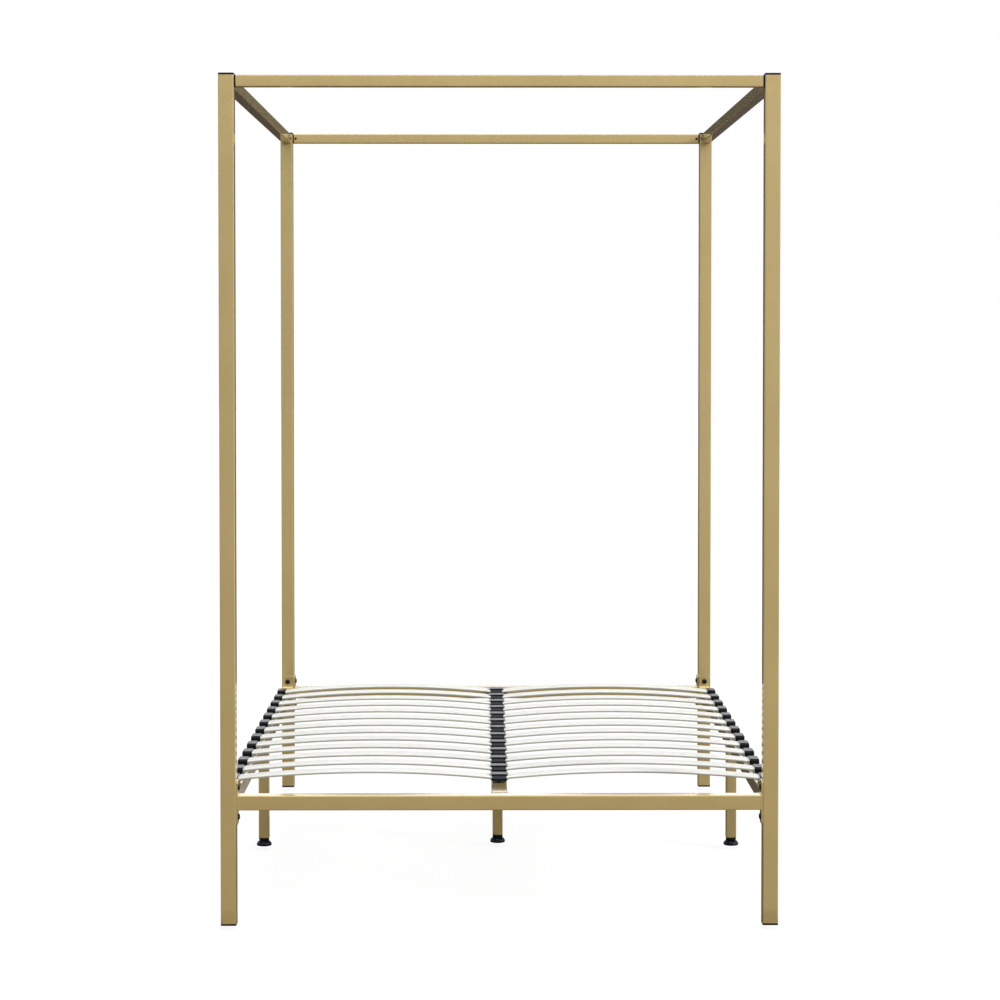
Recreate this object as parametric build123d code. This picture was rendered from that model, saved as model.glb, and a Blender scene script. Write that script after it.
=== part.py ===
from build123d import *
from math import asin, atan2, cos, degrees, sin, sqrt
import os

# Four poster canopy bed in square steel tube, for a mattress 1350 mm wide and 1900 mm long.
# X runs across the bed, Y from the foot end to the head end, and Z up from the floor.
# The origin is on the floor, under the middle of the bed. All sizes are in millimetres.

overall_width = 1430
overall_length = 1990
overall_height = 2180
tube_wall = 1.5

# Posts, and the plastic caps that close both of their ends.
post_side = 40
post_radius = 3
cap_height = 5
cap_chamfer = 1
cap_plug_depth = 8
cap_plug_wall = 2
cap_clearance = 0.2
plug_radius = 1

# Base rails, with the end plates welded to them.
rail_side = 38
rail_radius = 2.5
rail_top = 335
plate_height = 112
plate_thickness = 4
plate_radius = 5
plate_bolt_offset = 38

# Centre beam between the front and rear rails.
beam_width = 40
beam_height = 38
beam_plate_width = 84
beam_plate_height = 36
beam_bolt_offset = 31

# Canopy rails, and the plastic connectors between them and the posts.
canopy_side = 30
canopy_top = 2175
flange_thickness = 4.5
connector_plug_length = 30
connector_clearance = 0.3
spigot_radius = 6
spigot_length = 7
canopy_screw_distance = 10.5

# Sprung slats: two columns of bowed, round-edged wooden slats.
slat_rows = 13
slat_pitch = 131
first_row_y = -791
slat_width = 50
slat_thickness = 8
slat_edge_radius = 3.5
slat_inner_x = 9
slat_outer_x = 708
slat_inner_z = 343.5
slat_outer_z = 340
slat_bow = 19
slat_clearance = 0.3

# Slat holders.
side_holder_inner_x = 687
side_holder_outer_x = 714
side_holder_width = 57
side_holder_top = 353.5
side_holder_crown = 6
side_holder_end_radius = 4
side_holder_mouth_radius = 1
centre_holder_length = 48
centre_holder_waist = 35
centre_holder_tip = 6
centre_holder_width = 59
centre_holder_bottom = 341
centre_holder_shoulder = (22, 347.5)
centre_holder_top = 357.5
centre_holder_crown = 12
centre_lip_length = 41
centre_lip_thickness = 2.9
peg_radius = 4
peg_spacing = 28
peg_depth = 10
peg_clearance = 0.15
peg_flange_radius = 7
peg_flange_height = 1.5
peg_embedding = 1

# Support legs and their levelling feet.
leg_side = 30
leg_radius = 2.5
leg_places = {"left": (-692, 15), "centre": (0, 60), "right": (692, 15)}
leg_bottom = 24
leg_plate_width = 36
leg_plate_length = 92
leg_plate_thickness = 3
leg_bolt_offset = 33
insert_flange = 2
insert_depth = 22
thread_radius = 5
running_clearance = 0.05
stem_top = 58
collar_radius = 15
collar_bottom = 14.3
collar_top = 21.7
pad_radius = 22
pad_top_radius = 15.2
pad_height = 14
pad_rim = 5.5
pad_chamfer = 1.5
pad_shoulder = (19.9, 10.7)
neck_radius = 4
disc_radius = 8
disc_bottom = 5
disc_top = 8
foot_gap = 0.3

# Fasteners: shank radius, shank length, head radius, head height, width of the hexagon socket.
rail_bolt = (3.95, 14, 8, 4.6, 5)
small_bolt = (2.95, 12, 6, 3.4, 4)
canopy_screw = (1.75, 10, 3.8, 2.2, 2)
hole_clearance = 0.5

# Button head, as shares of its radius and height: flat crown, upright rim, a point on the dome, socket floor.
crown_share = 0.4
rim_share = 0.2
dome_share = (0.82, 0.74)
socket_share = 0.4

# Hexagon weld nuts: width across the flats, thickness, bore radius.
rail_nut = (13, 6.5, 4)
small_nut = (10, 5, 3)

post_x = (overall_width - post_side) / 2
post_y = (overall_length - post_side) / 2
post_top = overall_height - cap_height
inner_x = post_x - post_side / 2
inner_y = post_y - post_side / 2
rail_z = rail_top - rail_side / 2
canopy_z = canopy_top - canopy_side / 2
row_places = [first_row_y + row * slat_pitch for row in range(slat_rows)]
corners = {"front_left": (-1, -1), "front_right": (1, -1), "rear_left": (-1, 1), "rear_right": (1, 1)}
up = (0, 0, 1)


# Square tube that starts at a plane's origin and runs along its normal.
def square_tube(plane, width, height, radius, length):
    outer = RectangleRounded(width, height, radius)
    bore = RectangleRounded(width - 2 * tube_wall, height - 2 * tube_wall, radius - tube_wall)
    return extrude(plane * (outer - bore), amount=length)


# Upright plane with its own X axis pointing up, looking along a horizontal direction.
def facing(x, y, direction):
    return Plane(origin=(x, y, 0), x_dir=up, z_dir=direction)


# The two inner faces of a post: a plane on the face, along the rail, and the rail's inner side.
def inner_faces(side, end):
    across = (-side, 0, 0)
    along = (0, -end, 0)
    return {
        "across": (facing(side * inner_x, end * post_y, across), across, along),
        "along": (facing(side * post_x, end * inner_y, along), along, across),
    }


def hexagon(width, height):
    return extrude(RegularPolygon(width / sqrt(3), 6), amount=height)


# Round-headed screw whose head rests on Z = 0 and whose shank points down.
def screw(shank_radius, shank_length, head_radius, head_height, socket):
    crown = head_radius * crown_share
    rim = head_height * rim_share
    bulge = (head_radius * dome_share[0], head_height * dome_share[1])
    with BuildSketch(Plane.XZ) as half:
        with BuildLine():
            Line((0, 0), (head_radius, 0))
            Line((head_radius, 0), (head_radius, rim))
            ThreePointArc((head_radius, rim), bulge, (crown, head_height))
            Line((crown, head_height), (0, head_height))
            Line((0, head_height), (0, 0))
        make_face()
    head = revolve(half.sketch, Axis.Z, 360)
    recess = Pos(0, 0, head_height * socket_share) * hexagon(socket, head_height)
    shank = Pos(0, 0, -shank_length / 2) * Cylinder(shank_radius, shank_length)
    return head - recess + shank


def weld_nut(width, height, radius):
    return hexagon(width, height) - Pos(0, 0, height / 2) * Cylinder(radius, height)


# Post tube, with the bolt holes for two rails and the holes for two canopy connectors.
def post(side, end):
    base = Plane((side * post_x, end * post_y, cap_height))
    shape = square_tube(base, post_side, post_side, post_radius, post_top - cap_height)
    bolt_hole = Cylinder(rail_bolt[0] + hole_clearance, 4 * tube_wall)
    spigot_hole = Cylinder(spigot_radius + peg_clearance, 4 * tube_wall)
    for face, _, _ in inner_faces(side, end).values():
        for height in (rail_z - plate_bolt_offset, rail_z + plate_bolt_offset):
            shape -= face.location * Pos(height, 0, 0) * bolt_hole
        shape -= face.location * Pos(canopy_z, 0, 0) * spigot_hole
    return shape


# Plastic cap with a plug that pushes into the end of a post. It is built above Z = 0.
def post_cap():
    lid = extrude(RectangleRounded(post_side, post_side, post_radius), amount=cap_height)
    lid = chamfer(lid.faces().sort_by(Axis.Z)[-1].edges(), cap_chamfer)
    plug_side = post_side - 2 * tube_wall - 2 * cap_clearance
    plug = extrude(RectangleRounded(plug_side, plug_side, post_radius - tube_wall), amount=-cap_plug_depth)
    well_side = plug_side - 2 * cap_plug_wall
    well = extrude(RectangleRounded(well_side, well_side, plug_radius), amount=-cap_plug_depth)
    return lid + (plug - well)


# Plate welded to a rail's end, lying on a post's inner face, with one bolt above and one below.
def end_plate(face):
    outline = RectangleRounded(plate_height, rail_side, plate_radius)
    plate = extrude(outline, amount=plate_thickness)
    bolt_hole = Cylinder(rail_bolt[0] + hole_clearance, 4 * plate_thickness)
    for offset in (-plate_bolt_offset, plate_bolt_offset):
        plate -= Pos(offset, 0, 0) * bolt_hole
    return face.location * Pos(rail_z, 0, 0) * plate


# Holes on a line for pressed pegs, one pair for each row of slats.
def peg_holes(x):
    hole = Cylinder(peg_radius + peg_clearance, 4 * tube_wall)
    places = [(x, row + offset, rail_top) for row in row_places for offset in (-peg_spacing / 2, peg_spacing / 2)]
    return [Pos(*place) * hole for place in places]


# Front or rear rail, drilled on its inner side for the centre beam.
def end_rail(end):
    length = 2 * (inner_x - plate_thickness)
    start = facing(-length / 2, end * post_y, (1, 0, 0))
    tube = square_tube(start, rail_side, rail_side, rail_radius, length).moved(Pos(0, 0, rail_z))
    hole = Rot(90, 0, 0) * Cylinder(small_bolt[0] + hole_clearance, 4 * tube_wall)
    for x in (-beam_bolt_offset, beam_bolt_offset):
        tube -= Pos(x, end * (post_y - rail_side / 2), rail_z) * hole
    plates = [end_plate(inner_faces(side, end)["across"][0]) for side in (-1, 1)]
    return [tube] + plates


# Side rail, drilled on top for the slat holders and underneath for a support leg.
def side_rail(side, leg):
    length = 2 * (inner_y - plate_thickness)
    start = facing(side * post_x, -length / 2, (0, 1, 0))
    tube = square_tube(start, rail_side, rail_side, rail_radius, length).moved(Pos(0, 0, rail_z))
    tube -= peg_holes(side * (side_holder_inner_x + side_holder_outer_x) / 2)
    tube -= leg_holes(leg)
    plates = [end_plate(inner_faces(side, end)["along"][0]) for end in (-1, 1)]
    return [tube] + plates


# Holes underneath a rail or beam for the two bolts of a support leg.
def leg_holes(leg):
    x, y = leg_places[leg]
    hole = Cylinder(small_bolt[0] + hole_clearance, 4 * tube_wall)
    return [Pos(x, y + offset, rail_top - rail_side) * hole for offset in (-leg_bolt_offset, leg_bolt_offset)]


# Centre beam, with an end plate bolted to the inner side of the front and rear rails.
def centre_beam():
    half = post_y - rail_side / 2
    length = 2 * (half - plate_thickness)
    start = facing(0, -length / 2, (0, 1, 0))
    tube = square_tube(start, beam_height, beam_width, rail_radius, length).moved(Pos(0, 0, rail_z))
    tube -= peg_holes(0)
    tube -= leg_holes("centre")
    plate = extrude(RectangleRounded(beam_plate_height, beam_plate_width, plate_radius), amount=plate_thickness)
    for x in (-beam_bolt_offset, beam_bolt_offset):
        plate -= Pos(0, x, 0) * Cylinder(small_bolt[0] + hole_clearance, 4 * plate_thickness)
    plates = [facing(0, end * half, (0, -end, 0)).location * Pos(rail_z, 0, 0) * plate for end in (-1, 1)]
    return [tube] + plates


# Canopy rail between two connectors, drilled near each end for its screw on the inner side.
def canopy_rail(x, y, direction, half, inner_side):
    length = 2 * (half - flange_thickness)
    start = facing(x - direction[0] * length / 2, y - direction[1] * length / 2, direction)
    tube = square_tube(start, canopy_side, canopy_side, rail_radius, length).moved(Pos(0, 0, canopy_z))
    reach = half - canopy_screw_distance
    for along in (-reach, reach):
        centre_x = x + direction[0] * along + inner_side[0] * canopy_side / 2
        centre_y = y + direction[1] * along + inner_side[1] * canopy_side / 2
        hole = Cylinder(canopy_screw[0] + hole_clearance, 4 * tube_wall)
        tube -= facing(centre_x, centre_y, inner_side).location * Pos(canopy_z, 0, 0) * hole
    return tube


# Plastic connector: a spigot into the post, a flange that shows, and a plug inside the canopy rail.
def connector(face, direction, inner_side):
    flange = extrude(RectangleRounded(canopy_side, canopy_side, rail_radius), amount=flange_thickness)
    plug_side = canopy_side - 2 * tube_wall - 2 * connector_clearance
    plug_reach = flange_thickness + connector_plug_length
    plug = extrude(RectangleRounded(plug_side, plug_side, plug_radius), amount=plug_reach)
    spigot = Pos(0, 0, -spigot_length / 2) * Cylinder(spigot_radius, spigot_length)
    shape = face.location * Pos(canopy_z, 0, 0) * (flange + plug + spigot)
    pilot = Pos(0, 0, -canopy_screw[1] / 2) * Cylinder(canopy_screw[0] + running_clearance, canopy_screw[1])
    return shape - canopy_screw_place(face, direction, inner_side) * pilot


# Where a canopy screw's head rests: on the rail's inner side, close to the post.
def canopy_screw_place(face, direction, inner_side):
    x = face.origin.X + direction[0] * canopy_screw_distance + inner_side[0] * canopy_side / 2
    y = face.origin.Y + direction[1] * canopy_screw_distance + inner_side[1] * canopy_side / 2
    return facing(x, y, inner_side).location * Pos(canopy_z, 0, 0)


# Bowed slat of the right-hand column, in the row at Y = 0. Clearance grows it on every side.
def slat(clearance):
    half = (slat_outer_x - slat_inner_x) / 2
    radius = (half * half + slat_bow * slat_bow) / (2 * slat_bow)
    low = radius - clearance
    high = radius + slat_thickness + clearance
    reach = asin(half / radius) + clearance / radius

    def on_arc(r, angle):
        return (r * sin(angle), r * cos(angle) + slat_bow - radius)

    with BuildSketch(Plane.XZ) as side_view:
        with BuildLine():
            ThreePointArc(on_arc(low, -reach), on_arc(low, 0), on_arc(low, reach))
            Line(on_arc(low, reach), on_arc(high, reach))
            ThreePointArc(on_arc(high, reach), on_arc(high, 0), on_arc(high, -reach))
            Line(on_arc(high, -reach), on_arc(low, -reach))
        make_face()
    board = extrude(side_view.sketch, amount=slat_width / 2 + clearance, both=True)
    board = fillet(board.edges().filter_by(GeomType.CIRCLE), slat_edge_radius + clearance)
    lean = degrees(atan2(slat_inner_z - slat_outer_z, 2 * half))
    middle = ((slat_inner_x + slat_outer_x) / 2, 0, (slat_inner_z + slat_outer_z) / 2)
    return Pos(*middle) * Rot(0, lean, 0) * board


# The two pegs of a holder, from its underside down through the wall of the rail.
def pegs(x, top):
    length = top - rail_top + peg_depth
    peg = Cylinder(peg_radius, length)
    return [Pos(x, offset, top - length / 2) * peg for offset in (-peg_spacing / 2, peg_spacing / 2)]


# Holder on the right-hand side rail: a pocket closed at its outer end.
def side_holder(pocket):
    length = side_holder_outer_x - side_holder_inner_x
    middle = (side_holder_outer_x + side_holder_inner_x) / 2
    height = side_holder_top - rail_top
    body = Box(length, side_holder_width, height)
    body = fillet(body.edges().filter_by(Axis.X).group_by(Axis.Z)[-1], side_holder_crown)
    mouth = body.faces().sort_by(Axis.X)[0].edges().sort_by(Axis.Z)[1:]
    body = fillet(mouth, side_holder_mouth_radius)
    closed_end = body.faces().sort_by(Axis.X)[-1].edges().sort_by(Axis.Z)[1:]
    body = fillet(closed_end, side_holder_end_radius)
    body = Pos(middle, 0, rail_top + height / 2) * body
    return body + pegs(middle, rail_top + peg_embedding) - pocket


# Double holder on the centre beam: pointed upper jaws to left and right over a straight lower lip.
def centre_holder(pocket):
    half = centre_holder_length / 2
    waist = centre_holder_waist / 2
    edge = centre_holder_width / 2
    tip = centre_holder_tip / 2
    outline = Polygon((half, tip), (waist, edge), (-waist, edge), (-half, tip),
                      (-half, -tip), (-waist, -edge), (waist, -edge), (half, -tip), align=None)
    plan = extrude(Pos(0, 0, centre_holder_bottom) * outline, amount=centre_holder_top - centre_holder_bottom)
    shoulder, shoulder_bottom = centre_holder_shoulder
    section = Polygon((-edge, centre_holder_bottom), (edge, centre_holder_bottom), (edge, shoulder_bottom),
                      (shoulder, centre_holder_top), (-shoulder, centre_holder_top), (-edge, shoulder_bottom), align=None)
    arch = extrude(Plane.YZ * section, amount=half, both=True)
    arch = fillet(arch.edges().filter_by(Axis.X).group_by(Axis.Z)[-1], centre_holder_crown)
    lip = Box(centre_lip_length, centre_holder_width, centre_lip_thickness)
    body = (plan & arch) + Pos(0, 0, centre_holder_bottom + centre_lip_thickness / 2) * lip
    flange = Pos(0, 0, rail_top + peg_flange_height / 2) * Cylinder(peg_flange_radius, peg_flange_height)
    flanges = [Pos(0, y, 0) * flange for y in (-peg_spacing / 2, peg_spacing / 2)]
    shape = body + pegs(0, centre_holder_bottom + peg_embedding) + flanges
    return shape - pocket - mirror(pocket, Plane.YZ)


# Support leg tube, with the plate welded on top that bolts under the rail.
def leg(name):
    x, y = leg_places[name]
    plate_top = rail_top - rail_side
    tube_top = plate_top - leg_plate_thickness
    tube = square_tube(Plane((x, y, leg_bottom)), leg_side, leg_side, leg_radius, tube_top - leg_bottom)
    plate = extrude(RectangleRounded(leg_plate_width, leg_plate_length, plate_radius), amount=leg_plate_thickness)
    for offset in (-leg_bolt_offset, leg_bolt_offset):
        plate -= Pos(0, offset, 0) * Cylinder(small_bolt[0] + hole_clearance, 4 * leg_plate_thickness)
    return [tube, Pos(x, y, tube_top) * plate]


# Plastic insert in a leg's lower end, threaded for the foot.
def leg_insert(x, y):
    flange = extrude(RectangleRounded(leg_side, leg_side, leg_radius), amount=-insert_flange)
    plug_side = leg_side - 2 * tube_wall - 2 * cap_clearance
    plug = extrude(RectangleRounded(plug_side, plug_side, plug_radius), amount=insert_depth)
    shape = flange + plug - Cylinder(thread_radius, 4 * insert_depth)
    return Pos(x, y, leg_bottom) * shape


# Foot pad: a flared disc that holds the stem's lower disc captive, so that the stem can turn in it.
def foot_pad(x, y):
    bore = neck_radius + foot_gap
    cave = disc_radius + foot_gap
    with BuildSketch(Plane.XZ) as half:
        with BuildLine():
            Line((0, 0), (pad_radius - pad_chamfer, 0))
            Line((pad_radius - pad_chamfer, 0), (pad_radius, pad_chamfer))
            Line((pad_radius, pad_chamfer), (pad_radius, pad_rim))
            ThreePointArc((pad_radius, pad_rim), pad_shoulder, (pad_top_radius, pad_height))
            Line((pad_top_radius, pad_height), (bore, pad_height))
            Line((bore, pad_height), (bore, disc_top + foot_gap))
            Line((bore, disc_top + foot_gap), (cave, disc_top + foot_gap))
            Line((cave, disc_top + foot_gap), (cave, disc_bottom - foot_gap))
            Line((cave, disc_bottom - foot_gap), (0, disc_bottom - foot_gap))
            Line((0, disc_bottom - foot_gap), (0, 0))
        make_face()
    return Pos(x, y, 0) * revolve(half.sketch, Axis.Z, 360)


# Foot stem: captive disc, neck, turning collar and threaded rod on one axis.
def foot_stem(x, y):
    stages = [
        (disc_radius, disc_bottom, disc_top),
        (neck_radius, disc_top, collar_bottom),
        (collar_radius, collar_bottom, collar_top),
        (thread_radius - running_clearance, collar_top, stem_top),
    ]
    shape = Part()
    for radius, bottom, top in stages:
        shape += Pos(0, 0, (bottom + top) / 2) * Cylinder(radius, top - bottom)
    return Pos(x, y, 0) * shape


nodes = {}
caps_on_top = []
caps_below = []
connectors = []
canopy_screws = []
rail_bolts = []
weld_nuts = []

for name, (side, end) in corners.items():
    nodes["post_" + name] = [post(side, end)]
    place = (side * post_x, end * post_y)
    caps_on_top.append(Pos(*place, post_top) * post_cap())
    caps_below.append(Pos(*place, cap_height) * Rot(180, 0, 0) * post_cap())
    for face, direction, inner_side in inner_faces(side, end).values():
        connectors.append(connector(face, direction, inner_side))
        canopy_screws.append(canopy_screw_place(face, direction, inner_side) * screw(*canopy_screw))
        for height in (rail_z - plate_bolt_offset, rail_z + plate_bolt_offset):
            rail_bolts.append(face.location * Pos(height, 0, plate_thickness) * screw(*rail_bolt))
            behind_wall = Pos(height, 0, -tube_wall - rail_nut[1])
            weld_nuts.append(face.location * behind_wall * weld_nut(*rail_nut))

nodes["post_top_caps"] = caps_on_top
nodes["post_foot_caps"] = caps_below
nodes["front_rail"] = end_rail(-1)
nodes["rear_rail"] = end_rail(1)
nodes["left_side_rail"] = side_rail(-1, "left")
nodes["right_side_rail"] = side_rail(1, "right")
nodes["centre_beam"] = centre_beam()
nodes["canopy_front_rail"] = [canopy_rail(0, -post_y, (1, 0, 0), inner_x, (0, 1, 0))]
nodes["canopy_rear_rail"] = [canopy_rail(0, post_y, (1, 0, 0), inner_x, (0, -1, 0))]
nodes["canopy_left_rail"] = [canopy_rail(-post_x, 0, (0, 1, 0), inner_y, (1, 0, 0))]
nodes["canopy_right_rail"] = [canopy_rail(post_x, 0, (0, 1, 0), inner_y, (-1, 0, 0))]
nodes["canopy_connectors"] = connectors
nodes["canopy_screws"] = canopy_screws
nodes["rail_bolts"] = rail_bolts

beam_bolts = []
for end in (-1, 1):
    face = facing(0, end * (post_y - rail_side / 2), (0, -end, 0))
    for offset in (-beam_bolt_offset, beam_bolt_offset):
        beam_bolts.append(face.location * Pos(rail_z, offset, plate_thickness) * screw(*small_bolt))
        behind_wall = Pos(rail_z, offset, -tube_wall - small_nut[1])
        weld_nuts.append(face.location * behind_wall * weld_nut(*small_nut))
nodes["beam_bolts"] = beam_bolts

leg_bolts = []
leg_inserts = []
for name, (x, y) in leg_places.items():
    nodes[name + "_support_leg"] = leg(name)
    nodes[name + "_foot_pad"] = [foot_pad(x, y)]
    nodes[name + "_foot_stem"] = [foot_stem(x, y)]
    leg_inserts.append(leg_insert(x, y))
    plate_bottom = rail_top - rail_side - leg_plate_thickness
    for offset in (-leg_bolt_offset, leg_bolt_offset):
        leg_bolts.append(Pos(x, y + offset, plate_bottom) * Rot(180, 0, 0) * screw(*small_bolt))
        weld_nuts.append(Pos(x, y + offset, rail_top - rail_side + tube_wall) * weld_nut(*small_nut))
nodes["leg_bolts"] = leg_bolts
nodes["leg_inserts"] = leg_inserts
nodes["weld_nuts"] = weld_nuts

right_slat = slat(0)
left_slat = mirror(right_slat, Plane.YZ)
pocket = slat(slat_clearance)
right_holder = side_holder(pocket)
left_holder = mirror(right_holder, Plane.YZ)
double_holder = centre_holder(pocket)
for row, y in enumerate(row_places, 1):
    nodes[f"slat_left_{row:02d}"] = [Pos(0, y, 0) * left_slat]
    nodes[f"slat_right_{row:02d}"] = [Pos(0, y, 0) * right_slat]
nodes["left_slat_holders"] = [Pos(0, y, 0) * left_holder for y in row_places]
nodes["right_slat_holders"] = [Pos(0, y, 0) * right_holder for y in row_places]
nodes["centre_slat_holders"] = [Pos(0, y, 0) * double_holder for y in row_places]

os.makedirs("parts", exist_ok=True)
for name, shapes in nodes.items():
    solids = [solid for shape in shapes for solid in shape.solids()]
    export_step(Compound(solids) if len(solids) > 1 else solids[0], f"parts/{name}.step")
print(len(nodes), "nodes")
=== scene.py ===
import math
import random

import bmesh
import bpy
from mathutils import Matrix, Vector


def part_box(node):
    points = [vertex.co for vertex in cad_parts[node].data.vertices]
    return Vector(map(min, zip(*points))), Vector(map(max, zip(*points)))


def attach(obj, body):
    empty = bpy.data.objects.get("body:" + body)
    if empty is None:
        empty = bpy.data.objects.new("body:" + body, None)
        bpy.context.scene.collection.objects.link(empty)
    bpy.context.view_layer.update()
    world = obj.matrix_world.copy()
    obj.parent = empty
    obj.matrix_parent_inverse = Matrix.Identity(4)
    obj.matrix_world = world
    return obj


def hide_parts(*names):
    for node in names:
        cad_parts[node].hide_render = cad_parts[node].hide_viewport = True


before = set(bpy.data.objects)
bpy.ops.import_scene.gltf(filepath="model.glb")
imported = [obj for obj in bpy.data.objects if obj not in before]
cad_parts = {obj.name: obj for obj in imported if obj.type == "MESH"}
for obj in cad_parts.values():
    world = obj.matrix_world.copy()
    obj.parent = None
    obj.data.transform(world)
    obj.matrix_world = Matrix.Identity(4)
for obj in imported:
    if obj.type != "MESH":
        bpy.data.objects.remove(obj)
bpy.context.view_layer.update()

mm = 0.001
random.seed(11)


# camera first, then light and floor

cameraLook = {
    "place": (-37 * mm, -7394 * mm, 1530 * mm),
    "lens": 90.44,
    "turnRight": 0.34,  # degrees
    "lookDown": 1.76,  # degrees; the rest of the framing is shift, so uprights stay upright
    "shiftDown": 0.094,
}


def makeCamera(look):
    data = bpy.data.cameras.new("camera")
    data.lens = look["lens"]
    data.sensor_width = 36
    data.shift_y = -look["shiftDown"]
    data.clip_end = 200
    data.dof.use_dof = False
    camera = bpy.data.objects.new("camera", data)
    bpy.context.scene.collection.objects.link(camera)
    camera.location = look["place"]
    camera.rotation_euler = (math.radians(90 - look["lookDown"]), 0, -math.radians(look["turnRight"]))
    bpy.context.scene.camera = camera


makeCamera(cameraLook)
print("camera set")


# one node with its settings and its incoming links; a key is a property, a socket's name or its number
def addNode(tree, kind, settings=None, links=None):
    node = tree.nodes.new(kind)
    for key, value in (settings or {}).items():
        if isinstance(key, int) or key in node.inputs:
            node.inputs[key].default_value = value
        else:
            setattr(node, key, value)
    for key, source in (links or {}).items():
        tree.links.new(source, node.inputs[key])
    return node


# sRGB hex colour to the linear values that shaders take
def hexColour(text):
    def linear(part):
        value = int(part, 16) / 255
        return value / 12.92 if value <= 0.04045 else ((value + 0.055) / 1.055) ** 2.4
    return tuple(linear(text[i:i + 2]) for i in (1, 3, 5)) + (1.0,)


lightLook = {
    "sunWay": (0.70, -0.42, 0.35),
    "sunAngle": 14.0,  # degrees, a wide soft source
    "sunBrightness": 0.745,
    "backdrop": 1.0,  # what the camera sees round the bed
    "dark": 0.05,
    "frontLow": 0.28,
    "frontLeft": 0.57,
    "frontRight": 0.99,
    "softbox": 1.9,
    "overhead": 0.16,
    "keyPanel": 5.2,
    "rightPanel": 0.4,
    "rightWall": 0.06,
    "rightStrip": 1.1,
    "leftStrip": 0.8,
    "rightSide": 0.75,
    "leftSide": 0.55,
    "floorBounce": 0.6,
    "floorHue": "#FFE6CC",  # what shines up from below is warm, the rest neutral
    "roomHue": "#FFFFFF",
    "floorGlow": 0.86,
    "floorTone": 0.14,
    "floorSide": 80.0,
    "floorDrop": 13 * mm,  # the floor lies this far under the posts, so that the feet show when wound out
    # left, right, front and rear edge of each dark sheet of painted shade under the bed
    "shadeSheets": [(-780 * mm, 780 * mm, -1150 * mm, 450 * mm), (-640 * mm, 540 * mm, -1900 * mm, -1150 * mm)],
    "flagHeight": 1 * mm,
    "shadeSheetHue": "#3A332B",
}


# white panels of a photo studio by direction: a wall in front, long softboxes all round under a dimmer
# ceiling, walls at both sides, a panel over the front, and a low panel at the right rear
def makeStudio(tree, look):
    # smooth change from one value to another; the last value may itself be a node's output
    def ramp(source, low, high, first, last):
        settings = {"interpolation_type": "SMOOTHSTEP", "From Min": low, "From Max": high, "To Min": first}
        links = {"Value": source}
        if isinstance(last, float):
            settings["To Max"] = last
        else:
            links["To Max"] = last
        return addNode(tree, "ShaderNodeMapRange", settings, links).outputs[0]

    def combine(operation, first, second):
        return addNode(tree, "ShaderNodeMath", {"operation": operation}, {0: first, 1: second}).outputs[0]

    coords = addNode(tree, "ShaderNodeTexCoord")
    way = addNode(tree, "ShaderNodeSeparateXYZ", {}, {0: coords.outputs["Generated"]})
    x, y, z = way.outputs[0], way.outputs[1], way.outputs[2]
    high = ramp(x, -0.2, 0.2, look["frontLeft"], look["frontRight"])
    wall = ramp(z, -0.35, 0.12, look["frontLow"], high)
    front = combine("MULTIPLY", ramp(y, -0.45, 0.10, 1.0, 0.0), wall)
    upper = ramp(z, 0.30, 0.55, look["softbox"], look["overhead"])
    softbox = combine("MULTIPLY", ramp(z, 0.10, 0.17, 0.0, 1.0), upper)
    atLeast = {"operation": "MAXIMUM", 1: look["dark"]}
    ceiling = addNode(tree, "ShaderNodeMath", atLeast, {0: softbox}).outputs[0]
    lowPanel = ramp(z, -0.20, -0.13, look["rightPanel"], 0.0)
    rear = combine("ADD", lowPanel, ramp(z, -0.02, 0.05, 0.0, look["rightWall"]))
    rightRear = combine("MULTIPLY", rear, ramp(x, 0.0, 0.07, 0.0, 1.0))
    behind = combine("MULTIPLY", rightRear, ramp(y, 0.0, 0.3, 0.0, 1.0))
    across = addNode(tree, "ShaderNodeMath", {"operation": "ABSOLUTE"}, {0: x}).outputs[0]
    narrow = combine("MULTIPLY", ramp(y, -0.25, -0.10, 1.0, 0.0), ramp(across, 0.25, 0.35, 1.0, 0.0))
    key = combine("MULTIPLY", ramp(z, 0.66, 0.80, 0.0, look["keyPanel"]), narrow)
    floor = ramp(z, -0.80, -0.55, look["floorBounce"], 0.0)
    rightStrip = ramp(x, 0.75, 0.90, 0.0, look["rightStrip"])
    strips = combine("ADD", rightStrip, ramp(x, -0.90, -0.75, look["leftStrip"], 0.0))
    rightSide = ramp(x, 0.22, 0.45, 0.0, look["rightSide"])
    walls = combine("ADD", rightSide, ramp(x, -0.45, -0.22, look["leftSide"], 0.0))
    lowWalls = combine("MULTIPLY", walls, ramp(z, -0.6, -0.1, 0.4, 1.0))
    sides = combine("MAXIMUM", strips, lowWalls)
    total = combine("MAXIMUM", combine("MAXIMUM", front, ceiling), behind)
    strength = combine("MAXIMUM", combine("MAXIMUM", total, key), combine("MAXIMUM", floor, sides))
    hues = {"data_type": "RGBA", 6: hexColour(look["floorHue"]), 7: hexColour(look["roomHue"])}
    tone = addNode(tree, "ShaderNodeMix", hues, {0: ramp(z, -0.40, -0.05, 0.0, 1.0)}).outputs[2]
    return strength, tone


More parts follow.
